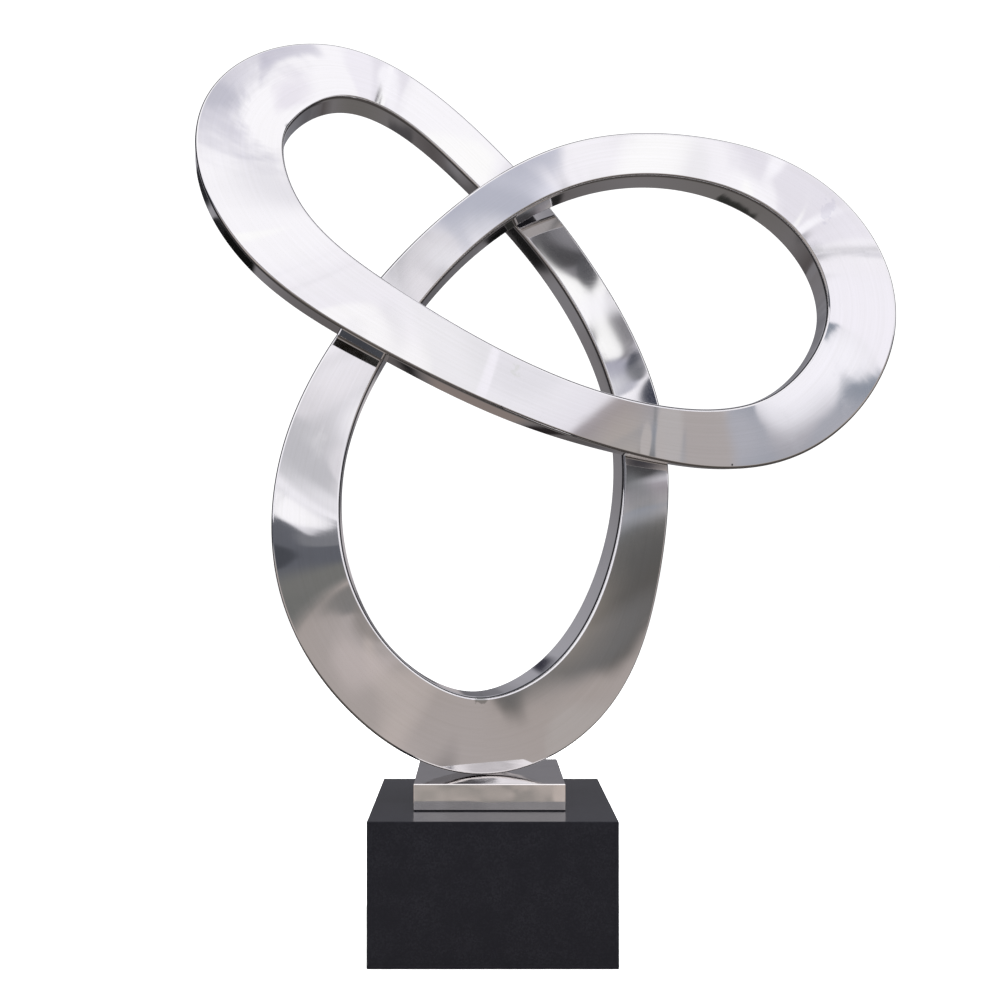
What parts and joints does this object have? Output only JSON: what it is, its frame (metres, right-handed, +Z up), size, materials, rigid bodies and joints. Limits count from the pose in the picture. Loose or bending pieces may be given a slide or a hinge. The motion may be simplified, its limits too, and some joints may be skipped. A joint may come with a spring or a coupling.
{
  "type": "abstract metal sculpture",
  "caption": "Freestanding abstract sculpture: an endless polished steel band of box section looped into three lobes, on a steel foot plate and a square black stone plinth.",
  "frame": {"origin": "middle of the plinth's underside, on the surface that the sculpture stands on", "axes": "+Z up; -Y towards the viewer in front of the work; +X to that viewer's right, the side of the low wide lobe"},
  "size_m": [0.9478, 0.32, 1.2399],
  "materials": {
    "mirror_steel": "polished",
    "polished_plate": "polished",
    "black_granite": "satin"
  },
  "bodies": {
    "root": {"looped_band": "mirror_steel", "foot_plate": "polished_plate", "plinth": "black_granite"}
  },
  "joints": []
}
